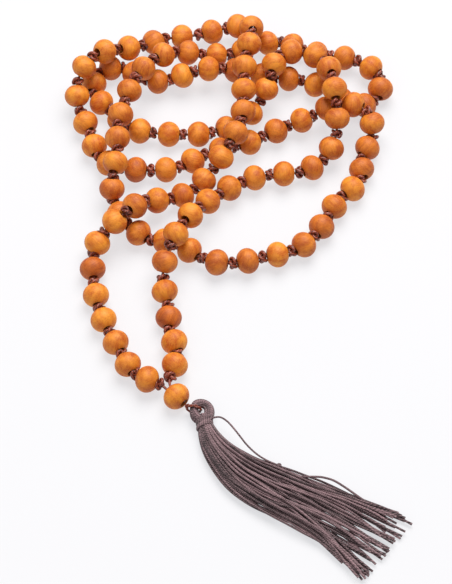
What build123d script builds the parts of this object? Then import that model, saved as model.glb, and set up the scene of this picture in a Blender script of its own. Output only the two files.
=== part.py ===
from build123d import *
import math
import os

os.makedirs("parts", exist_ok=True)

# ---------------------------------------------------------------- driving dimensions (mm)
BEAD_DIA = 8.0            # turned wooden bead, across its equator
BEAD_LEN = 7.0            # along its bore, so the bead is slightly flattened
BEAD_BORE_R = 1.2         # plain drilled bore
DIMPLE_R = 1.6            # countersink that the knot nests in
DIMPLE_DEPTH = 0.45
GURU_BORE_R = 1.35        # the guru bead passes both ends of the cord
CORD_DIA = 0.8            # knotted stringing cord
KNOT_R = 1.05             # an overhand knot pulled tight
KNOT_LEN = 0.9
TUBE_FILL = 0.45          # share of the shorter run that each arc of the cord takes
FLOOR_Z = BEAD_DIA / 2    # height of a bead's bore when it lies on the surface

EYE_MAJOR_R = 2.45        # ring that the folded tassel bundle makes at its head
EYE_TUBE_R = 1.3
HANGER_R = 2.05           # small loop of cord that links the guru bead to the ring
HANGER_CORD_R = 0.4

# ---------------------------------------------------------------- where the cord is knotted
# One knot stands between every two beads. The strand leaves the guru bead, crosses itself
# in four lobes and comes back to the guru bead. Each bead lies in the middle of the straight
# run between two knots, so a knot is also where the strand bends.
KNOTS = [
    (-20, -36.5, 4), (-28, -34, 4.5), (-31.5, -26.5, 4), (-35.5, -19, 4),
    (-39, -11, 4), (-40.5, -2, 4), (-41.5, 7.5, 4), (-38, 14, 7.5),
    (-31, 17.5, 12.5), (-26, 24.5, 8.5), (-18, 27, 4), (-10.5, 31, 4),
    (-5, 36.5, 7), (0, 42.5, 12), (4, 50.5, 13), (4.5, 59, 11),
    (4.5, 67.5, 12.5), (5, 75.5, 12.5), (7.5, 84.5, 13.5), (6.5, 91.5, 8),
    (-1, 93, 4), (-10, 90, 4), (-20, 89, 4), (-28, 84.5, 5.5),
    (-35.5, 80, 10), (-42.5, 75, 14.5), (-48, 68.5, 9.5), (-47, 60, 4.5),
    (-42.5, 51.5, 4.5), (-41, 43, 4), (-33.5, 39, 4), (-24, 38, 4),
    (-15, 39, 4), (-7.5, 44.5, 4), (2, 47, 4), (10.5, 50.5, 4),
    (18.5, 55.5, 4), (26.5, 57.5, 5.5), (34, 60.5, 9.5), (43, 57, 10.5),
    (45.5, 50, 4.5), (40, 43, 4), (41.5, 34.5, 4), (34, 28.5, 4),
    (30, 21.5, 4), (26, 14, 4), (19, 8.5, 4), (10, 7, 4),
    (1, 4, 4), (-8.5, 6, 4), (-15.5, 12.5, 4), (-24, 12.5, 4),
    (-31, 18.5, 4), (-36, 26.5, 4), (-35.5, 32.5, 10), (-34, 41, 11),
    (-34.5, 49.5, 12), (-32.5, 58.5, 11), (-29.5, 68, 11.5), (-24, 75.5, 11),
    (-17.5, 81.5, 7.5), (-8.5, 82, 4.5), (0.5, 82, 4), (8, 85.5, 4),
    (16.5, 88.5, 4), (23.5, 83.5, 4), (32, 82, 4), (41, 80, 4.5),
    (48.5, 73.5, 5), (46.5, 64, 4), (38.5, 61.5, 4), (31.5, 68.5, 4),
    (23, 73, 4), (14.5, 73, 4), (6, 75.5, 4), (-2, 75, 7),
    (-11, 74, 7.5), (-18.5, 72, 4), (-26.5, 71.5, 4.5), (-33.5, 78.5, 4),
    (-41.5, 76, 4), (-43.5, 66.5, 4), (-36.5, 61, 4), (-32, 54, 4),
    (-23.5, 52, 4), (-14, 51.5, 4), (-5, 52, 4), (3.5, 56, 4),
    (10, 63, 5), (13, 69, 11.5), (15, 77.5, 11), (24, 80, 10),
    (30, 74, 11.5), (32, 66, 15.5), (33, 56.5, 14.5), (33.5, 48.5, 8.5),
    (29.5, 41.5, 4), (21.5, 37, 4), (12, 37, 4), (3.5, 34, 4),
    (-3.5, 28.5, 5.5), (-9.5, 22, 7.5), (-14, 14.5, 11.5), (-18, 6.5, 11),
    (-20.5, -1.5, 6), (-18, -10, 4), (-18, -18.5, 4), (-14.5, -26.5, 4),
    (-17.5, -34, 4),
]
# The cord's two ends, side by side in the guru bead's bore.
LEAD_IN = [(-14, -43, 4), (-16.5, -40.5, 4)]
LEAD_OUT = [(-17.5, -37.5, 4), (-15, -40.5, 4), (-13, -42.5, 4)]

GURU_CENTRE = Vector(-15.4, -40.8, FLOOR_Z)
GURU_AXIS = Vector(0.70, -0.714, 0).normalized()

# Beads that lie between two gentle bends have room to turn on the cord. They are single
# nodes, each with its own bearing. The rest are grouped, eight or so to a node.
SPINNING = list(range(3, 7)) + list(range(10, 18)) + list(range(32, 38)) + list(range(93, 108))

# ---------------------------------------------------------------- link and tassel
# The cord ends are tied off just outside the guru bead. The tie holds a small upright loop,
# and the loop holds the flat ring that the folded tassel bundle makes.
TIE_CENTRE = GURU_CENTRE + GURU_AXIS * 4.5
TIE_R = 0.8
LINK = Vector(0.99, -0.13, 0).normalized()
LOOP_CENTRE = TIE_CENTRE + LINK * 2.0 - Vector(0, 0, 1.3)
EYE_CENTRE = LOOP_CENTRE + LINK * EYE_MAJOR_R
NECK_DIRECTION = Vector(0.06, -1, 0).normalized()
BINDING_R = 2.35
BINDING_BORE_R = 1.72
BINDING_LEN = 2.1
BINDING_REACH = 3.9        # from the middle of the ring to the middle of the binding
# Middle line of the thread bundle: x, y, z, heading in degrees, width, height.
SKIRT_SECTIONS = [
    (-7.35, -48.65, 2.75, -87, 3.3, 3.3),
    (-5.6, -54.0, 2.6, -74, 6.0, 4.5),
    (-2.4, -59.2, 2.55, -61, 8.2, 4.8),
    (3.2, -65.4, 2.55, -47, 12.0, 4.8),
    (12.0, -70.9, 2.45, -31, 15.4, 4.6),
    (20.5, -74.9, 2.25, -26, 15.6, 4.2),
    (29.4, -79.2, 2.0, -28, 16.4, 3.7),
    (42.3, -87.0, 1.45, -36, 21.4, 2.6),
]
LOOSE_THREAD_R = 0.35
LOOSE_THREAD = [(-5.8, -48.4, 4.0), (-3.6, -47.6, 5.0), (-0.8, -49.4, 5.6), (2.2, -53.4, 5.6)]
LOOSE_THREAD += [(5.4, -57.8, 4.8), (9.6, -61.0, 3.6), (14.8, -62.6, 2.2), (19.6, -65.4, 1.2)]
LOOSE_THREAD += [(24.6, -67.4, 0.6)]


def vec(p):
    return Vector(*p)


def arc_radii(points):
    """Arc at each bend: a share of the shorter run, over the tangent of half the turn."""
    radii = []
    for before, here, after in zip(points, points[1:], points[2:]):
        a = here - before
        b = after - here
        half_turn = math.radians(a.get_angle(b)) / 2
        radii.append(TUBE_FILL * min(a.length, b.length) / math.tan(half_turn))
    return radii


def tube(points, radius):
    """A cord: straight runs joined by tangent arcs, with a round section."""
    radii = arc_radii(points)
    path = FilletPolyline(*points, radius=radii)
    start = Plane(origin=points[0], z_dir=points[1] - points[0])
    solid = sweep(start * Circle(radius), path=path)
    length = path.length
    share = solid.volume / (math.pi * radius**2 * length)
    print(f"  cord {length:.0f} mm, tightest bend {min(radii):.1f} mm, volume share {share:.3f}")
    return solid, length


def bead(bore_r):
    """Oblate turned bead about its own Z axis, with a countersink at each end."""
    swing = BEAD_LEN / 2
    offset = BEAD_DIA / 2 - swing
    z_rim = math.sqrt(swing**2 - (DIMPLE_R - offset) ** 2)
    z_bore = z_rim - DIMPLE_DEPTH
    rim = (DIMPLE_R, z_rim)
    foot = (DIMPLE_R, -z_rim)
    outline = ThreePointArc(foot, (BEAD_DIA / 2, 0), rim)
    rest = Polyline(rim, (bore_r, z_bore), (bore_r, -z_bore), foot)
    face = Plane.XZ * make_face(Wire([outline.edge()] + rest.edges()))
    return revolve(face, Axis.Z)


def knot():
    """A tight knot: a short barrel on the cord, rounded at both ends."""
    barrel = Cylinder(KNOT_R, KNOT_LEN)
    return fillet(barrel.edges(), 0.35)


def along(origin, direction):
    """Plane with its Z axis along a bead's bore."""
    return Plane(origin=origin, z_dir=direction)


def write(solids, name):
    group = solids if isinstance(solids, list) else [solids]
    shape = group[0] if len(group) == 1 else Compound(children=group)
    shape.label = name
    export_step(shape, f"parts/{name}.step")


# ---------------------------------------------------------------- stringing cord
knots = [vec(p) for p in KNOTS]
route = [vec(p) for p in LEAD_IN] + knots + [vec(p) for p in LEAD_OUT]
cord, cord_length = tube(route, CORD_DIA / 2)
write(cord, "stringing_cord")

# ---------------------------------------------------------------- beads
bead_shape = bead(BEAD_BORE_R)
beads = [along((p + q) * 0.5, q - p) * bead_shape for p, q in zip(knots, knots[1:])]
resting = [n for n in range(1, len(beads) + 1) if n not in SPINNING]
for n in SPINNING:
    write(beads[n - 1], f"bead_{n:03d}")
share = math.ceil(len(resting) / 9)
for i in range(0, len(resting), share):
    group = resting[i : i + share]
    write([beads[n - 1] for n in group], f"beads_{group[0]:03d}_to_{group[-1]:03d}")

# ---------------------------------------------------------------- knots on the cord
# A knot sits on the middle of the cord's bend. In a tight bend the rims of the two beads
# press into it.
knot_shape = knot()
placed_knots = []
for i, here in enumerate(knots):
    a = here - route[i + 1]
    b = route[i + 3] - here
    half_turn = math.radians(a.get_angle(b)) / 2
    arc = TUBE_FILL * min(a.length, b.length) / math.tan(half_turn)
    inward = (b.normalized() - a.normalized()).normalized()
    centre = here + inward * (arc * (1 / math.cos(half_turn) - 1))
    placed_knots.append(along(centre, a.normalized() + b.normalized()) * knot_shape)
quarter = 28
for i in range(0, len(placed_knots), quarter):
    write(placed_knots[i : i + quarter], f"knots_{i // quarter + 1}")

write(along(GURU_CENTRE, GURU_AXIS) * bead(GURU_BORE_R), "guru_bead")

# ---------------------------------------------------------------- link from guru bead to tassel
write(Pos(*TIE_CENTRE) * Sphere(TIE_R), "gathering_knot")
loop_plane = Plane(origin=LOOP_CENTRE, x_dir=LINK, z_dir=LINK.cross(Vector(0, 0, 1)))
write(loop_plane * Torus(HANGER_R, HANGER_CORD_R), "tassel_hanger_loop")

# ---------------------------------------------------------------- tassel
write(Pos(*EYE_CENTRE) * Torus(EYE_MAJOR_R, EYE_TUBE_R), "tassel_eye")

binding_centre = EYE_CENTRE + NECK_DIRECTION * BINDING_REACH
binding = Cylinder(BINDING_R, BINDING_LEN) - Cylinder(BINDING_BORE_R, 2 * BINDING_LEN)
write(along(binding_centre, NECK_DIRECTION) * binding, "tassel_neck_binding")

sections = []
for x, y, z, heading, width, height in SKIRT_SECTIONS:
    turn = math.radians(heading)
    ahead = Vector(math.cos(turn), math.sin(turn), 0)
    side = Vector(-math.sin(turn), math.cos(turn), 0)
    here = Plane(origin=(x, y, z), x_dir=side, z_dir=ahead)
    sections.append(here * Ellipse(width / 2, height / 2))
write(loft(sections), "tassel_skirt")

thread, thread_length = tube([vec(p) for p in LOOSE_THREAD], LOOSE_THREAD_R)
write(thread, "loose_thread")

# ---------------------------------------------------------------- summary
print(f"{len(beads)} beads and the guru bead, {len(knots)} knots, cord {cord_length:.0f} mm")
for label, p in (("tie", TIE_CENTRE), ("loop", LOOP_CENTRE), ("eye", EYE_CENTRE)):
    print(f"  {label} centre ({p.X:.3f}, {p.Y:.3f}, {p.Z:.3f})")
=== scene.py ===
# %% [markdown]
# # A knotted strand of wooden prayer beads
# The object is a mala: one long cord, a turned bead, a knot, a bead, a knot, all the way round,
# a guru bead where the two ends meet, and a tassel below it. The engineering model already
# settles where every bead lies. This notebook gives each piece its real look: the wood of the
# beads, the wound cord of the knots, and the many threads of the tassel.
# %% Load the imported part
import math
import random
import re

import bmesh
import bpy
import numpy as np
from mathutils import Matrix, Vector


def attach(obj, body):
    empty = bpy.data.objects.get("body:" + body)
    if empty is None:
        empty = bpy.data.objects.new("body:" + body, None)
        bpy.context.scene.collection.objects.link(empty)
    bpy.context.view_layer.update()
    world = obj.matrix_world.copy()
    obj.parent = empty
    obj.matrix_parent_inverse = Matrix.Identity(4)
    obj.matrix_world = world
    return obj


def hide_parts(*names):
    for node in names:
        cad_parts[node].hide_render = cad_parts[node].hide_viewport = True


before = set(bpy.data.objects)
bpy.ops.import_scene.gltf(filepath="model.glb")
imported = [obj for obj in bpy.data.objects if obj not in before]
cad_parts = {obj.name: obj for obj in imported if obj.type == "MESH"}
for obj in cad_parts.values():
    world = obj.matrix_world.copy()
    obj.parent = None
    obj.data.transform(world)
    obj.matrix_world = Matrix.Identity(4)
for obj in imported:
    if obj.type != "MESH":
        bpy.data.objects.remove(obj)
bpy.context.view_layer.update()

MM = 0.001

# %% [markdown]
# ## Camera
# The strand is seen from its tassel end, from well above, with a long lens. A long lens keeps
# near and far beads almost the same size.
# %% Set up the camera
ELEVATION = math.radians(59)
DISTANCE = 714 * MM
AIM = Vector((-1, -3, 0)) * MM
camera_data = bpy.data.cameras.new("camera")
camera_data.lens = 18 / math.tan(math.radians(7))
camera_data.clip_start = 0.01
camera = bpy.data.objects.new("camera", camera_data)
bpy.context.scene.collection.objects.link(camera)
camera.location = AIM + Vector((0, -math.cos(ELEVATION), math.sin(ELEVATION))) * DISTANCE
camera.rotation_euler = (math.pi / 2 - ELEVATION, 0, 0)
bpy.context.scene.camera = camera
print("camera at", [round(c, 3) for c in camera.location], "lens", round(camera_data.lens, 1))

# %% [markdown]
# ## The stringing cord
# The real cord is one length of waxed thread. It starts under the guru bead, goes round through
# every bead, and comes back into the guru bead. A curve with a round bevel is the natural tool.
# Each control point is a knot, because the cord can only bend there, between two beads.
# %% The route of the cord, knot by knot
LEAD_IN = [(-14, -43, 4), (-16.5, -40.5, 4)]
LEAD_OUT = [(-17.5, -37.5, 4), (-15, -40.5, 4), (-13, -42.5, 4)]
KNOTS = [
    (-20, -36.5, 4), (-28, -34, 4.5), (-31.5, -26.5, 4), (-35.5, -19, 4),
    (-39, -11, 4), (-40.5, -2, 4), (-41.5, 7.5, 4), (-38, 14, 7.5),
    (-31, 17.5, 12.5), (-26, 24.5, 8.5), (-18, 27, 4), (-10.5, 31, 4),
    (-5, 36.5, 7), (0, 42.5, 12), (4, 50.5, 13), (4.5, 59, 11),
    (4.5, 67.5, 12.5), (5, 75.5, 12.5), (7.5, 84.5, 13.5), (6.5, 91.5, 8),
    (-1, 93, 4), (-10, 90, 4), (-20, 89, 4), (-28, 84.5, 5.5),
    (-35.5, 80, 10), (-42.5, 75, 14.5), (-48, 68.5, 9.5), (-47, 60, 4.5),
    (-42.5, 51.5, 4.5), (-41, 43, 4), (-33.5, 39, 4), (-24, 38, 4),
    (-15, 39, 4), (-7.5, 44.5, 4), (2, 47, 4), (10.5, 50.5, 4),
    (18.5, 55.5, 4), (26.5, 57.5, 5.5), (34, 60.5, 9.5), (43, 57, 10.5),
    (45.5, 50, 4.5), (40, 43, 4), (41.5, 34.5, 4), (34, 28.5, 4),
    (30, 21.5, 4), (26, 14, 4), (19, 8.5, 4), (10, 7, 4),
    (1, 4, 4), (-8.5, 6, 4), (-15.5, 12.5, 4), (-24, 12.5, 4),
    (-31, 18.5, 4), (-36, 26.5, 4), (-35.5, 32.5, 10), (-34, 41, 11),
    (-34.5, 49.5, 12), (-32.5, 58.5, 11), (-29.5, 68, 11.5), (-24, 75.5, 11),
    (-17.5, 81.5, 7.5), (-8.5, 82, 4.5), (0.5, 82, 4), (8, 85.5, 4),
    (16.5, 88.5, 4), (23.5, 83.5, 4), (32, 82, 4), (41, 80, 4.5),
    (48.5, 73.5, 5), (46.5, 64, 4), (38.5, 61.5, 4), (31.5, 68.5, 4),
    (23, 73, 4), (14.5, 73, 4), (6, 75.5, 4), (-2, 75, 7),
    (-11, 74, 7.5), (-18.5, 72, 4), (-26.5, 71.5, 4.5), (-33.5, 78.5, 4),
    (-41.5, 76, 4), (-43.5, 66.5, 4), (-36.5, 61, 4), (-32, 54, 4),
    (-23.5, 52, 4), (-14, 51.5, 4), (-5, 52, 4), (3.5, 56, 4),
    (10, 63, 5), (13, 69, 11.5), (15, 77.5, 11), (24, 80, 10),
    (30, 74, 11.5), (32, 66, 15.5), (33, 56.5, 14.5), (33.5, 48.5, 8.5),
    (29.5, 41.5, 4), (21.5, 37, 4), (12, 37, 4), (3.5, 34, 4),
    (-3.5, 28.5, 5.5), (-9.5, 22, 7.5), (-14, 14.5, 11.5), (-18, 6.5, 11),
    (-20.5, -1.5, 6), (-18, -10, 4), (-18, -18.5, 4), (-14.5, -26.5, 4),
    (-17.5, -34, 4),
]


def new_curve(name, routes, radius, sides=4, order=3, steps=6, cyclic=False):
    """A bevelled curve with one smooth spline for each route, given in millimetres."""
    data = bpy.data.curves.new(name, "CURVE")
    data.dimensions = "3D"
    data.bevel_depth = 1.0     # in metres, times the small radius of each point
    data.bevel_resolution = sides
    data.use_fill_caps = True
    for route in routes:
        spline = data.splines.new("NURBS")
        spline.points.add(len(route) - 1)
        for point, place in zip(spline.points, route):
            point.co = (place[0] * MM, place[1] * MM, place[2] * MM, 1)
            point.radius = radius * MM
        spline.order_u = order
        spline.use_cyclic_u = cyclic
        spline.use_endpoint_u = not cyclic
        spline.resolution_u = steps
    curve = bpy.data.objects.new(name, data)
    bpy.context.scene.collection.objects.link(curve)
    return curve


def curve_line(curve):
    """The points of a curve's own middle line, as Blender draws it."""
    bare = curve.copy()
    bare.data = curve.data.copy()
    bare.data.bevel_depth = 0
    bpy.context.scene.collection.objects.link(bare)
    bpy.context.view_layer.update()
    mesh = bpy.data.meshes.new_from_object(bare.evaluated_get(bpy.context.evaluated_depsgraph_get()))
    line = np.array([v.co[:] for v in mesh.vertices])
    bpy.data.objects.remove(bare)
    return line


ROUTE = LEAD_IN + KNOTS + LEAD_OUT
CORD_RADIUS = 0.4
cord = new_curve("stringing_cord_thread", [ROUTE], CORD_RADIUS, steps=8)
cord_line = curve_line(cord)
cord_length = float(np.linalg.norm(np.diff(cord_line, axis=0), axis=1).sum())
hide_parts("stringing_cord")
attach(cord, "strand")
print(f"stringing cord {cord_length * 1000:.0f} mm through {len(KNOTS)} knots")

# %% [markdown]
# ## Writing materials as expressions
# A material is a small network of nodes. Adding each one by hand is slow, so one class wraps a
# socket. Adding or multiplying two of them adds the Math node that does it.
# %% A small language for shader maths
class Net:
    """A material's node tree, and a method that adds any node to it."""

    def __init__(self, name):
        self.material = bpy.data.materials.new(name)
        self.material.use_nodes = True
        self.tree = self.material.node_tree
        self.shader = self.tree.nodes["Principled BSDF"]

    def node(self, kind, settings=None, **inputs):
        node = self.tree.nodes.new(kind)
        for key, value in (settings or {}).items():
            setattr(node, key, value)
        for key, value in inputs.items():
            socket = node.inputs[int(key[1:])] if key[0] == "i" and key[1:].isdigit() else None
            socket = socket or node.inputs[key.replace("_", " ")]
            if isinstance(value, Wire):
                self.tree.links.new(value.socket, socket)
            else:
                socket.default_value = value
        return node

    def wire(self, node, output=0):
        return Wire(self, node.outputs[output])

    def plug(self, name, value):
        if isinstance(value, Wire):
            self.tree.links.new(value.socket, self.shader.inputs[name])
        else:
            self.shader.inputs[name].default_value = value


class Wire:
    """One socket's value. The usual operators add Math nodes."""

    def __init__(self, net, socket):
        self.net = net
        self.socket = socket

    def maths(self, operation, a, b=0.0):
        return self.net.wire(self.net.node("ShaderNodeMath", {"operation": operation}, i0=a, i1=b))

    def __add__(self, other):
        return self.maths("ADD", self, other)

    def __sub__(self, other):
        return self.maths("SUBTRACT", self, other)

    def __mul__(self, other):
        return self.maths("MULTIPLY", self, other)

    def sine(self):
        return self.maths("SINE", self)

    def span(self, low, high):
        """0 below low, 1 above high, smooth between."""
        node = self.net.node("ShaderNodeMapRange", {"interpolation_type": "SMOOTHSTEP"},
                             Value=self, From_Min=low, From_Max=high)
        return self.net.wire(node)


def blend_colours(net, share, first, second):
    """first where share is 0, second where it is 1."""
    node = net.node("ShaderNodeMix", {"data_type": "RGBA"},
                    i0=share, i6=first, i7=second)
    return net.wire(node, 2)


def noise(net, place, scale, detail=2.0, rough=0.5):
    node = net.node("ShaderNodeTexNoise", None, Vector=place, Scale=scale, Detail=detail,
                    Roughness=rough)
    return net.wire(node)


def attribute(net, name, output):
    return net.wire(net.node("ShaderNodeAttribute", {"attribute_name": name}), output)


def stretch(net, place, factors):
    node = net.node("ShaderNodeVectorMath", {"operation": "MULTIPLY"}, i0=place, i1=factors)
    return net.wire(node)


def bump(net, height, strength, depth):
    return net.wire(net.node("ShaderNodeBump", None, Height=height, Strength=strength, Distance=depth))


def srgb(red, green, blue):
    """A colour, 0 to 255, as the linear values that shaders use."""
    linear = [((c / 255 + 0.055) / 1.055) ** 2.4 if c > 10 else c / 255 / 12.92 for c in (red, green, blue)]
    return (*linear, 1)


print("shader helpers ready")

# %% [markdown]
# ## Oiled wood
# Small turned beads show their grain in a new direction on every bead, because each blank is cut
# as it comes. So the grain doesn't follow the world. Every bead carries its own grain position
# and its own tint as attributes, and one material reads them.
# %% The wood of the beads
def wood_material():
    net = Net("oiled_wood")
    place = attribute(net, "grain", 1)
    tint = attribute(net, "tint", 2)
    bore_shade = attribute(net, "bore_shade", 2)
    cloudy = noise(net, place, 0.22, 2.0, 0.55)
    fibres = noise(net, stretch(net, place, (1.0, 1.0, 0.09)), 2.6, 4.0, 0.6)
    rings_place = stretch(net, place, (1.0, 1.0, 0.16))
    wander = noise(net, rings_place, 0.35, 2.0)
    across = net.wire(net.node("ShaderNodeSeparateXYZ", None, Vector=rings_place))
    rings = (across * 3.1 + wander * 9.0).sine() * 0.5 + 0.5
    pores = noise(net, stretch(net, place, (1.0, 1.0, 0.22)), 7.5, 2.0, 0.5).span(0.62, 0.74)
    speckle = noise(net, place, 14.0, 2.0, 0.7)
    pale = blend_colours(net, tint, srgb(236, 150, 42), srgb(204, 102, 24))
    deep = blend_colours(net, tint, srgb(186, 80, 6), srgb(148, 50, 6))
    share = cloudy.span(0.35, 0.65) * 0.6 + rings.span(0.25, 1.0) * 0.22 + fibres.span(0.38, 0.7) * 0.36
    body = blend_colours(net, share, pale, deep)
    body = blend_colours(net, pores * 0.6, body, srgb(104, 44, 14))
    body = blend_colours(net, speckle.span(0.48, 0.72) * 0.55, body, srgb(244, 172, 76))
    # Painted shade: the wood turns dark brown round the mouth of the bore, where the hole and the knot throw
    # shade.
    body = blend_colours(net, bore_shade * 0.45, body, srgb(96, 40, 16))
    net.plug("Base Color", body)
    net.plug("Roughness", fibres * 0.18 + 0.46 + pores * 0.15)
    height = fibres * 0.6 + speckle * 0.35 - pores * 0.8
    net.plug("Normal", bump(net, height, 0.35, 0.00006))
    net.plug("Coat Weight", 0.04)
    net.plug("Coat Roughness", 0.3)
    net.plug("IOR", 1.42)
    return net.material


wood = wood_material()
print("made", wood.name)

# %% [markdown]
# ## One turned bead
# A bead like this is turned on a small lathe: a slightly flattened ball, drilled through, with
# the mouth of the hole eased by a countersink. A sphere is a good start. It is squashed, its
# two poles are cut away, the mouths are sunk and the two ends are joined by the bore. It is made
# once, standing on its hole, and then copied.
# %% Model the bead
BEAD_WIDE = 8.0 * MM
BEAD_LONG = 7.0 * MM
BORE_RADIUS = 1.2 * MM
# Painted shade: the wood is painted darker inside this radius, round the shaded mouth of the bore.
BORE_SHADE_RADIUS = 1.75 * MM      # the wood is darker inside this
BORE_SHADE_FADE = 0.5 * MM
MOUTH_STEPS = [(0.95, 0.04), (0.90, 0.14), (0.90, 0.30)]   # narrower by, and deeper by in mm


def from_axis(place):
    return math.hypot(place.x, place.y)


def pick(obj, test):
    """In edit mode, select only the corners of the mesh that pass a test."""
    bpy.ops.mesh.select_mode(type="VERT")
    bpy.ops.mesh.select_all(action="DESELECT")
    mesh = bmesh.from_edit_mesh(obj.data)
    for vert in mesh.verts:
        vert.select_set(test(vert))
    mesh.select_flush(True)
    bmesh.update_edit_mesh(obj.data)


def model_bead():
    bpy.ops.object.select_all(action="DESELECT")
    bpy.ops.mesh.primitive_uv_sphere_add(segments=32, ring_count=16, radius=BEAD_WIDE / 2)
    bead = bpy.context.active_object
    bpy.ops.object.mode_set(mode="EDIT")
    bpy.ops.transform.resize(value=(1, 1, BEAD_LONG / BEAD_WIDE), center_override=(0, 0, 0))
    pick(bead, lambda vert: from_axis(vert.co) < BORE_RADIUS)
    bpy.ops.mesh.delete(type="VERT")
    for end in (1, -1):
        pick(bead, lambda vert: vert.is_boundary and vert.co.z * end > 0)
        for narrower, deeper in MOUTH_STEPS:
            sink = {"value": (0, 0, -end * deeper * MM)}
            bpy.ops.mesh.extrude_edges_move(TRANSFORM_OT_translate=sink)
            bpy.ops.transform.resize(value=(narrower, narrower, 1), center_override=(0, 0, 0))
    pick(bead, lambda vert: vert.is_boundary)
    bpy.ops.mesh.bridge_edge_loops()
    bpy.ops.mesh.select_all(action="SELECT")
    bpy.ops.mesh.normals_make_consistent(inside=False)
    bpy.ops.object.mode_set(mode="OBJECT")
    bpy.ops.object.shade_smooth_by_angle(angle=math.radians(50))
    # Painted shade: 1 inside the ring round the bore that the wood material darkens, fading to 0 outside it.
    bore_shade = bead.data.attributes.new("bore_shade", "FLOAT", "POINT")
    for vert, value in zip(bead.data.vertices, bore_shade.data):
        value.value = min(1.0, max(0.0, (BORE_SHADE_RADIUS - from_axis(vert.co)) / BORE_SHADE_FADE))
    bead.data.materials.append(wood)
    return bead


bead_pattern = model_bead()
bead_size = [round(d * 1000, 2) for d in bead_pattern.dimensions]
print("bead faces", len(bead_pattern.data.polygons), "size mm", bead_size)

# %% [markdown]
# ## All the beads
# Each bead sits in the middle of the run between two knots, with its bore along the cord. Some
# beads can turn freely on the cord: they stay single pieces. The others are joined into the same
# groups as in the engineering model. No two beads are alike, so size, tint, grain direction and
# the way the bead has turned all vary a little.
# %% String the beads
def turn_to(direction, roll=0.0):
    return direction.to_track_quat("Z", "Y").to_matrix().to_4x4() @ Matrix.Rotation(roll, 4, "Z")


def copy_of(pattern, name):
    copy = pattern.copy()
    copy.data = pattern.data.copy()
    copy.name = name
    bpy.context.scene.collection.objects.link(copy)
    return copy


def joined(parts, name):
    """Several objects as one object."""
    bpy.ops.object.select_all(action="DESELECT")
    for part in parts:
        part.select_set(True)
    bpy.context.view_layer.objects.active = parts[0]
    if len(parts) > 1:
        bpy.ops.object.join()
    whole = bpy.context.view_layer.objects.active
    whole.name = name
    whole.data.name = name
    return whole


def give_grain(piece, draw, tint):
    """Store the wood's own position and tint on every corner, before the bead is put in place."""
    fibre = Matrix.Rotation(draw.uniform(0.7, 1.5), 4, "X") @ Matrix.Rotation(draw.uniform(0, 6.28), 4, "Z")
    shift = Vector([draw.uniform(-50, 50) for _ in range(3)])
    attributes = piece.data.attributes
    attributes.new("grain", "FLOAT_VECTOR", "POINT")
    attributes.new("tint", "FLOAT", "POINT")
    places = [c for vert in piece.data.vertices for c in fibre @ (vert.co * 1000) + shift]
    attributes["grain"].data.foreach_set("vector", places)
    attributes["tint"].data.foreach_set("value", [tint] * len(piece.data.vertices))


def string_bead(number, start, end):
    draw = random.Random(1000 + number)
    piece = copy_of(bead_pattern, f"turned_bead_{number:03d}")
    wide = draw.uniform(0.975, 1.005)
    long = wide * draw.uniform(1.0, 1.05)
    piece.data.transform(Matrix.Diagonal((wide, wide, long, 1)))
    give_grain(piece, draw, min(1.0, max(0.0, draw.gauss(0.30, 0.27))))
    start = Vector(start) * MM
    end = Vector(end) * MM
    middle = (start + end) / 2
    piece.data.transform(Matrix.Translation(middle) @ turn_to(end - start, draw.uniform(0, 6.28)))
    bead_shapes[number] = (middle, (end - start).normalized(), wide * BEAD_WIDE / 2, long * BEAD_LONG / 2)
    return piece


bead_shapes = {}
strung = {n: string_bead(n, KNOTS[n - 1], KNOTS[n]) for n in range(1, len(KNOTS))}
for node in sorted(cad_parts):
    if not node.startswith("bead"):
        continue
    first, last = (re.findall(r"\d+", node) * 2)[:2]
    numbers = [n for n in range(int(first), int(last) + 1)
               if node.startswith("bead_") or f"bead_{n:03d}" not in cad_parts]
    piece = joined([strung[n] for n in numbers], node.replace("bead", "turned_bead"))
    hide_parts(node)
    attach(piece, node if node.startswith("bead_") else "strand")
print("beads strung:", len(strung))

# %% The guru bead
GURU_CENTRE = Vector((-15.4, -40.8, 4)) * MM
GURU_AXIS = Vector((0.70, -0.714, 0)).normalized()
guru_draw = random.Random(7)
guru = copy_of(bead_pattern, "turned_guru_bead")
give_grain(guru, guru_draw, 0.15)
guru.data.transform(Matrix.Translation(GURU_CENTRE) @ turn_to(GURU_AXIS, 1.0))
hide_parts("guru_bead")
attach(guru, "strand")
bpy.data.objects.remove(bead_pattern)

# %% [markdown]
# ## Twisted thread
# Cord, knots and tassel are all twisted thread: plies that wind round each other, so the surface
# shows slanted ridges. A curve's own UV map runs along and around it, and a sine of both gives
# the ridges at any scale. The ridges lift the surface, and the colour is painted darker in the
# grooves between them as painted shade.
# %% Thread materials
def thread_material(name, dark, light, turns, plies=2, rough=0.7, sheen=0.0, gloss=0.0):
    net = Net(name)
    parts = net.node("ShaderNodeSeparateXYZ", None,
                     Vector=net.wire(net.node("ShaderNodeUVMap", {"uv_map": "UVMap"})))
    run = net.wire(parts, 0)
    round_about = net.wire(parts, 1)
    ridges = (run * (turns * math.tau) + round_about * (plies * math.tau)).sine() * 0.5 + 0.5
    fibres = (run * (turns * 3.3 * math.tau) + round_about * (plies * 4 * math.tau)).sine() * 0.5 + 0.5
    object_place = net.wire(net.node("ShaderNodeTexCoord"), 3)
    fuzz = noise(net, object_place, 2600.0, 3.0, 0.6)
    patches = noise(net, object_place, 260.0, 2.0, 0.5)
    tone = attribute(net, "tone", 2)
    # Painted shade: the ridges make the colour darker in the grooves of the twist.
    share = ridges.span(0.1, 0.9) * 0.4 + fibres * 0.14 + fuzz.span(0.35, 0.7) * 0.4 + (patches - 0.5) * 0.6
    share = share + tone
    net.plug("Base Color", blend_colours(net, share, dark, light))
    net.plug("Roughness", fuzz * 0.25 + (rough - 0.12))
    net.plug("Normal", bump(net, ridges * 0.8 + fibres * 0.25 + fuzz * 0.35, 0.7, 0.00012))
    net.plug("Sheen Weight", sheen)
    net.plug("Coat Weight", gloss)
    net.plug("Coat Roughness", 0.35)
    return net.material


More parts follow.
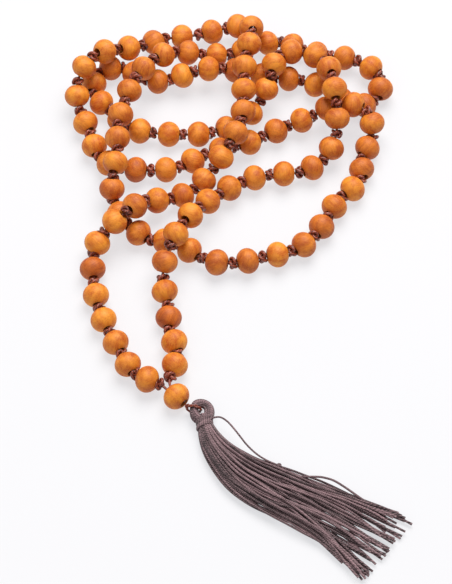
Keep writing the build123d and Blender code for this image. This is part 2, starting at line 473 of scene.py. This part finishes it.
waxed = thread_material("waxed_cord", srgb(64, 16, 8), srgb(182, 84, 54), 17, 3, 0.4, 0.0, 0.4)
waxed_long = thread_material("waxed_long_cord", srgb(64, 16, 8), srgb(182, 84, 54), 1100, 3, 0.4, 0.0, 0.4)
cord.data.materials.append(waxed_long)

# %% [markdown]
# ## The knots
# Between two beads the waxed cord is tied and pulled tight. The lump that shows is three or four
# strands wound over each other. A closed path that winds twice round and three times up and down
# gives just that lump, when the thread is nearly as thick as the gaps. Three patterns are made,
# then copied with a different turn each time.
# %% Knot patterns
def to_mesh(curve, name):
    bpy.ops.object.select_all(action="DESELECT")
    curve.select_set(True)
    bpy.context.view_layer.objects.active = curve
    bpy.ops.object.convert(target="MESH")
    mesh = bpy.context.view_layer.objects.active
    mesh.name = name
    bpy.ops.object.shade_smooth()
    return mesh


def give_tone(piece, tones):
    """One tone for each strand of a converted curve. All strands have the same number of corners."""
    attr = piece.data.attributes.new("tone", "FLOAT", "POINT")
    each = len(piece.data.vertices) // len(tones)
    attr.data.foreach_set("value", [tones[min(i // each, len(tones) - 1)] for i in range(len(attr.data))])


def knot_pattern(seed, reach=1.12, sway=0.52, tall=0.86, thick=0.52):
    draw = random.Random(seed)
    route = []
    for i in range(30):
        turn = i / 30 * math.tau
        out = reach + sway * math.cos(3 * turn) + draw.uniform(-0.07, 0.07)
        route.append((out * math.cos(2 * turn), out * math.sin(2 * turn),
                      tall * math.sin(3 * turn) + draw.uniform(-0.06, 0.06)))
    curve = new_curve(f"knot_pattern_{seed}", [route], thick, sides=2, order=3, steps=2, cyclic=True)
    knot = to_mesh(curve, f"knot_pattern_{seed}")
    give_tone(knot, [0.0])
    knot.data.materials.append(waxed)
    return knot


knot_patterns = [knot_pattern(seed) for seed in (1, 2, 3)]
print("knot faces", [len(k.data.polygons) for k in knot_patterns])

# %% [markdown]
# A knot is pulled up tight against the beads, so it takes the shape of the gap. Any part of it that
# would be inside a bead is moved straight out from the bead's middle, to just outside the wood.
# %% Tie a knot at every bend of the cord
CLEAR_OF_WOOD = 1.03


def press_against(knot, middle, axis, half_wide, half_long):
    """Move whatever lies inside one bead out to its surface."""
    for vert in knot.data.vertices:
        away = vert.co - middle
        along = away.dot(axis)
        across = (away - axis * along).length
        depth = math.hypot(across / half_wide, along / half_long)
        if depth < CLEAR_OF_WOOD:
            vert.co = middle + away * (CLEAR_OF_WOOD / depth)


def tie_knot(index):
    draw = random.Random(500 + index)
    corner = np.array(KNOTS[index]) * MM
    nearest = int(np.argmin(np.linalg.norm(cord_line - corner, axis=1)))
    before = cord_line[max(nearest - 1, 0)]
    after = cord_line[min(nearest + 1, len(cord_line) - 1)]
    knot = copy_of(knot_patterns[index % 3], f"knot_{index}")
    lean = Matrix.Rotation(draw.uniform(-0.25, 0.25), 4, "X")
    size = Matrix.Diagonal((draw.uniform(0.92, 1.06), draw.uniform(0.92, 1.06), draw.uniform(0.95, 1.1), 1))
    knot.data.transform(Matrix.Translation(cord_line[nearest]) @
                        turn_to(Vector(after - before), draw.uniform(0, 6.28)) @ lean @ size)
    for number in (index, index + 1):
        if number in bead_shapes:
            press_against(knot, *bead_shapes[number])
    tone = draw.uniform(-0.12, 0.1)
    for value in knot.data.attributes["tone"].data:
        value.value = tone
    return knot


KNOTS_IN_A_PIECE = 28
for group in range(4):
    first = group * KNOTS_IN_A_PIECE
    tied = [tie_knot(i) for i in range(first, min(first + KNOTS_IN_A_PIECE, len(KNOTS)))]
    piece = joined(tied, f"tied_knots_{group + 1}")
    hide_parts(f"knots_{group + 1}")
    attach(piece, "strand")

# %% The gathering knot and the loop that carries the tassel
TIE_CENTRE = GURU_CENTRE + GURU_AXIS * 4.5 * MM
LINK = Vector((0.99, -0.13, 0)).normalized()
LOOP_CENTRE = TIE_CENTRE + LINK * 2.0 * MM - Vector((0, 0, 1.3 * MM))
tie = copy_of(knot_patterns[1], "tied_gathering_knot")
tie.data.transform(Matrix.Translation(TIE_CENTRE) @ turn_to(GURU_AXIS, 0.6) @ Matrix.Scale(0.42, 4))
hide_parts("gathering_knot")
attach(tie, "hanger")

loop_routes = []
for strand in range(2):
    ring = []
    for i in range(24):
        turn = i / 24 * math.tau
        twist = turn * 4 + strand * math.pi
        out = 2.05 + 0.22 * math.cos(twist)
        side = LINK.cross(Vector((0, 0, 1))) * 0.22 * math.sin(twist)
        place = LOOP_CENTRE * 1000 + LINK * out * math.cos(turn) + Vector((0, 0, out * math.sin(turn))) + side
        ring.append(tuple(place))
    loop_routes.append(ring)
loop_curve = new_curve("hanger", loop_routes, 0.27, sides=2, steps=3, cyclic=True)
hanger = to_mesh(loop_curve, "twisted_hanger_loop")
give_tone(hanger, [0.0, 0.08])
hanger.data.materials.append(waxed)
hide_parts("tassel_hanger_loop")
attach(hanger, "hanger")
for pattern in knot_patterns:
    bpy.data.objects.remove(pattern)
print("knots and hanger loop tied")

# %% [markdown]
# ## The head of the tassel
# The tassel is one long bundle of threads, folded over the loop, bound at its neck and cut at the
# end. Its head is the fold: the threads go up one side of the ring, over, and down the other. So
# the head is made of threads too, each with its own place in the bundle's thickness.
# %% Threads over the fold
TAUPE_DARK = srgb(22, 11, 14)
TAUPE_LIGHT = srgb(158, 127, 132)
EYE_CENTRE = LOOP_CENTRE + LINK * 2.45 * MM
UP = -Vector((0.06, -1, 0)).normalized()      # from the neck towards the fold
SIDE = Vector((UP.y, -UP.x, 0))
# The bundle's middle line and half thickness: across, along, half thickness, in mm.
FOLD = [
    (0.2, -5.4, 0.95), (-0.1, -4.3, 1.00), (-1.3, -3.1, 1.30), (-2.5, -1.7, 1.35),
    (-2.5, 0.45, 1.00), (-2.0, 1.75, 1.10), (-0.8, 2.20, 1.10), (0.8, 1.95, 1.10), (1.9, 0.7, 1.25),
    (2.0, -1.0, 1.35), (1.5, -2.7, 1.30), (0.95, -4.3, 1.00), (0.8, -5.4, 0.95),
]


def fold_routes(count, seed):
    draw = random.Random(seed)
    routes = []
    for k in range(count):
        start = k * 2.399963
        depth = math.sqrt((k + 0.5) / count)
        route = []
        for i, (across, along, half) in enumerate(FOLD):
            before = FOLD[max(i - 1, 0)]
            after = FOLD[min(i + 1, len(FOLD) - 1)]
            ahead = Vector((after[0] - before[0], after[1] - before[1])).normalized()
            turn = start + i * 0.16
            out = math.cos(turn) * half * depth + draw.uniform(-0.05, 0.05)
            rise = math.sin(turn) * half * depth * 1.12 + draw.uniform(-0.05, 0.05)
            place = EYE_CENTRE * 1000 + SIDE * (across + ahead.y * out) + UP * (along - ahead.x * out)
            route.append((place.x, place.y, max(0.35, place.z + 0.1 + rise)))
        routes.append(route)
    return routes


def thread_piece(name, routes, radius, material, tones, sides=1, steps=3, order=4):
    piece = to_mesh(new_curve(name, routes, radius, sides=sides, order=order, steps=steps), name)
    give_tone(piece, tones)
    piece.data.materials.append(material)
    return piece


def tones(count, seed, spread=0.16):
    draw = random.Random(seed)
    return [draw.uniform(-spread, spread) for _ in range(count)]


FOLD_COUNT = 42
FOLD_THREAD = 0.34     # radius of one thread, in mm
fold_thread = thread_material("fold_thread", TAUPE_DARK, TAUPE_LIGHT, 26, 2, 0.8, 0.15)
fold = thread_piece("folded_head", fold_routes(FOLD_COUNT, 3), FOLD_THREAD, fold_thread,
                    tones(FOLD_COUNT, 11, 0.24))
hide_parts("tassel_eye")
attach(fold, "tassel")

# %% The binding round the neck
NECK = EYE_CENTRE - UP * 4.2 * MM + SIDE * 0.4 * MM
bind_routes = []
BINDING_TURNS = 7
for turn_number in range(BINDING_TURNS):
    draw = random.Random(60 + turn_number)
    slant = 0.34 + draw.uniform(-0.12, 0.12)
    wide = 2.25 + draw.uniform(-0.08, 0.1)
    place_along = (turn_number - 3) * 0.42 + draw.uniform(-0.06, 0.06)
    ring = []
    for i in range(16):
        turn = i / 16 * math.tau
        across = wide * math.cos(turn)
        point = NECK * 1000 + SIDE * across + UP * (place_along + slant * across)
        ring.append((point.x, point.y, max(0.35, point.z - 0.1 + wide * 0.98 * math.sin(turn))))
    bind_routes.append(ring)
bind_curve = new_curve("binding", bind_routes, 0.34, sides=2, steps=2, cyclic=True)
bind_thread = thread_material("binding_thread", TAUPE_DARK, TAUPE_LIGHT, 24, 2, 0.8, 0.15)
binding = to_mesh(bind_curve, "bound_neck")
give_tone(binding, tones(BINDING_TURNS, 12, 0.24))
binding.data.materials.append(bind_thread)
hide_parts("tassel_neck_binding")
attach(binding, "tassel")

# %% [markdown]
# ## The skirt of the tassel
# Below the neck the cut threads lie on the surface, fanned to one side. They bunch into locks,
# cross each other and end unevenly. Each thread is a spline of its own. Its place across the
# bundle wanders along its length, and drifts towards a lock near the end. Threads at the lower
# edge mostly drift to the middle, and threads from the middle cross under them to the lower edge.
# %% Lay out the skirt
# Middle line of the bundle: x, y, z, heading in degrees, width, height, all in mm.
SKIRT = np.array([
    (-7.6, -46.4, 2.7, -88, 2.4, 2.6), (-7.5, -48.6, 2.75, -87, 3.3, 3.3),
    (-5.6, -54.0, 2.6, -74, 6.6, 4.5), (-2.2, -59.0, 2.55, -61, 9.4, 4.8),
    (3.4, -64.8, 2.55, -47, 13.6, 4.8), (12.3, -70.2, 2.45, -31, 16.4, 4.6),
    (20.9, -74.3, 2.25, -26, 16.8, 4.2), (29.6, -78.6, 2.0, -28, 18.0, 3.7),
    (42.3, -87.0, 1.45, -36, 22.0, 2.6), (46.0, -89.7, 1.2, -38, 23.0, 2.0),
])
SKIRT_RUN = np.concatenate([[0], np.cumsum(np.linalg.norm(np.diff(SKIRT[:, :2], axis=0), axis=1))])
THREAD = 0.36          # radius of one thread, in mm
THREAD_POINTS = 16
LOCKS = [-0.97, -0.86, -0.72, -0.45, -0.25, 0.02, 0.26, 0.5, 0.68, 0.84, 0.98]


def skirt_place(run, across, rise):
    """A point in the bundle, from how far along, across and up it is."""
    x, y, z, heading, width, height = [np.interp(run, SKIRT_RUN, SKIRT[:, c]) for c in range(6)]
    turn = math.radians(heading)
    offset = across * width / 2
    z = z + rise * height / 2
    return (x - math.sin(turn) * offset, y + math.cos(turn) * offset, max(THREAD, z))


def skirt_routes(count, seed, points=THREAD_POINTS):
    draw = random.Random(seed)
    routes = []
    full = SKIRT_RUN[-1]
    for k in range(count):
        turn = k * 2.399963
        out = math.sqrt((k + 0.5) / count)
        across = out * math.cos(turn)
        rise = out * math.sin(turn)
        aim = across + draw.gauss(0, 0.22)
        if across < -0.55 and draw.random() < 0.6:
            aim = draw.uniform(-0.55, 0.0)       # the lower edge slides over to the right
        elif across < 0.1 and draw.random() < 0.6:
            aim = draw.uniform(-1.0, -0.66)      # and the middle crosses under it, downwards
        lock = min(LOCKS, key=lambda place: abs(place - aim)) + draw.uniform(-0.06, 0.06)
        sway = [draw.gauss(0, 0.05) for _ in range(3)]
        reach = full * (0.985 - 0.11 * abs(draw.gauss(0, 0.6)))
        route = []
        for i in range(points):
            share = i / (points - 1)
            pull = max(0.0, share - 0.38) / 0.62
            pull = pull * pull * (3 - 2 * pull)
            here = across * (1 - pull) + lock * pull
            for wave, size in enumerate(sway):
                here += size * math.sin((wave + 1.5) * 2.2 * share + wave) * min(1.0, share * 2)
            here += draw.gauss(0, 0.022) * share
            up = rise * (1 - 0.2 * share) + draw.gauss(0, 0.08) * share
            route.append(skirt_place(reach * share, max(-1.08, min(1.08, here)), up))
        routes.append(route)
    return routes


def evenly(route, points=THREAD_POINTS):
    """The same path with a set number of points, so that all threads have as many corners."""
    places = np.linspace(0, len(route) - 1, points)
    return list(zip(*[np.interp(places, range(len(route)), axis) for axis in zip(*route)]))


# One thread arches clear of the upper edge, and a short one has curled up into a small kink.
ARCHED = [(18.0, -66.2, 2.8), (22.0, -66.6, 3.6), (26.0, -66.9, 4.1), (29.6, -67.8, 4.0), (33.4, -70.2, 3.3),
          (38.6, -73.8, 2.2), (44.8, -77.4, 1.0)]
KINK = [(14.2 + 0.5 * math.cos(i * 1.35), -62.6 + 0.5 * math.sin(i * 1.35), 2.7 + 0.3 * math.sin(i * 0.9))
        for i in range(THREAD_POINTS)]
SKIRT_COUNT = 98
skirt_thread = thread_material("skirt_thread", TAUPE_DARK, TAUPE_LIGHT, 105, 2, 0.8, 0.15)
skirt_all = skirt_routes(SKIRT_COUNT - 2, 21) + [evenly(ARCHED), KINK]
skirt = thread_piece("fanned_skirt", skirt_all, THREAD, skirt_thread, tones(SKIRT_COUNT, 13, 0.3))
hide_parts("tassel_skirt")
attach(skirt, "tassel")
print("skirt threads", SKIRT_COUNT, "faces", len(skirt.data.polygons))

# %% The thread that has come loose from the neck
LOOSE = [(-5.8, -48.4, 4.0), (-3.6, -47.6, 5.0), (-0.8, -49.4, 5.6), (2.2, -53.4, 5.6), (5.4, -57.8, 4.8),
         (9.6, -61.0, 3.6), (14.8, -62.6, 2.2), (19.6, -65.4, 1.2), (24.6, -67.4, 0.6)]
loose = new_curve("stray_thread", [LOOSE], 0.27, sides=4, steps=8)
loose_line = curve_line(loose)
loose_length = float(np.linalg.norm(np.diff(loose_line, axis=0), axis=1).sum())
loose.data.materials.append(thread_material("stray_thread", TAUPE_DARK, TAUPE_LIGHT, 42, 2, 0.8, 0.15))
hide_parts("loose_thread")
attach(loose, "tassel")
print(f"stray thread {loose_length * 1000:.1f} mm")

# %% [markdown]
# ## The table and the light
# A white surface, bright soft light from above and behind, and a little fill. The surface also
# glows a little by itself, which keeps the shadows under the beads weak and soft.
# %% Stage and light
bpy.ops.object.select_all(action="DESELECT")
bpy.ops.mesh.primitive_plane_add(size=4)
table = bpy.context.active_object
table.name = "table"
white = Net("white_surface")
white.plug("Base Color", (0.24, 0.235, 0.24, 1))
white.plug("Emission Color", (0.962, 0.972, 1.0, 1))
white.plug("Emission Strength", 0.655)
white.plug("Roughness", 0.9)
white.plug("Specular IOR Level", 0.1)
table.data.materials.append(white.material)


def soft_light(name, place, size, watts, colour):
    data = bpy.data.lights.new(name, "AREA")
    data.shape = "DISK"
    data.size = size
    data.energy = watts
    data.color = colour
    light = bpy.data.objects.new(name, data)
    bpy.context.scene.collection.objects.link(light)
    light.location = place
    light.rotation_euler = (-Vector(place)).to_track_quat("-Z", "Y").to_euler()


soft_light("key", (0.12, 0.5, 1.0), 1.0, 17, (1, 0.985, 0.965))
soft_light("fill", (-0.7, -0.6, 0.9), 0.9, 2, (1, 0.99, 0.98))
world = bpy.data.worlds.new("studio")
bpy.context.scene.world = world
world.use_nodes = True
world.node_tree.nodes["Background"].inputs["Color"].default_value = (1.0, 0.99, 0.98, 1)
world.node_tree.nodes["Background"].inputs["Strength"].default_value = 0.4
bpy.context.scene.view_settings.view_transform = "Standard"

# %% Finish: deselect everything
bpy.ops.object.select_all(action="DESELECT")
